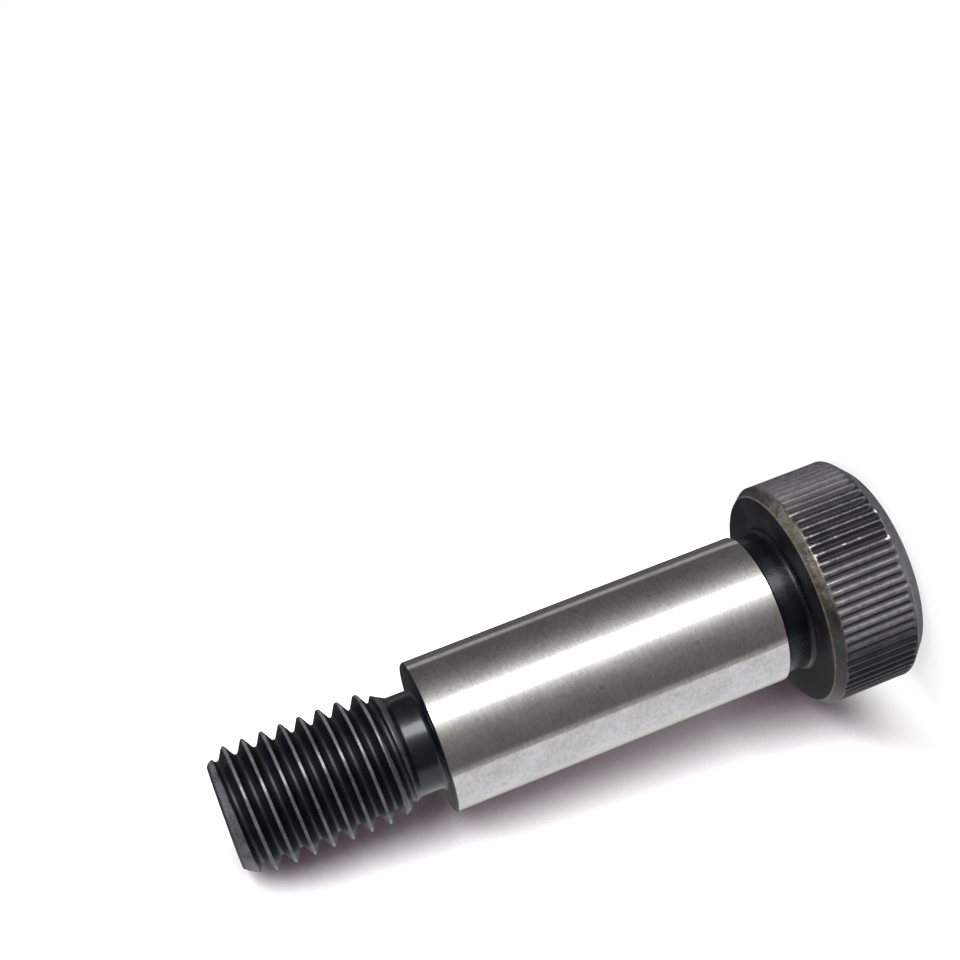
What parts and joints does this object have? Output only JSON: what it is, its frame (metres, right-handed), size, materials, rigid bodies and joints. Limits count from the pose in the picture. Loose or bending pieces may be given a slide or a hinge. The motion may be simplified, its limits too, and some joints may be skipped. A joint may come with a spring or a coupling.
{
  "type": "shoulder bolt",
  "caption": "Shoulder bolt with a ground cylindrical shoulder as a pivot or spacer, a knurled hexagon socket head and a metric thread.",
  "frame": {"origin": "centre of the head's flat socket face, on which the bolt stands", "axes": "+Z along the bolt's axis from the head to the thread's tip; +X towards a corner of the hexagon socket"},
  "size_m": [0.0182, 0.0182, 0.0542],
  "materials": {
    "black_steel": "black oxide, semi-matt on the head, glossy on the neck and thread",
    "ground_steel": "ground bright, fine marks round the shoulder"
  },
  "bodies": {
    "root": {"shoulder_bolt": "black_steel"}
  },
  "joints": []
}
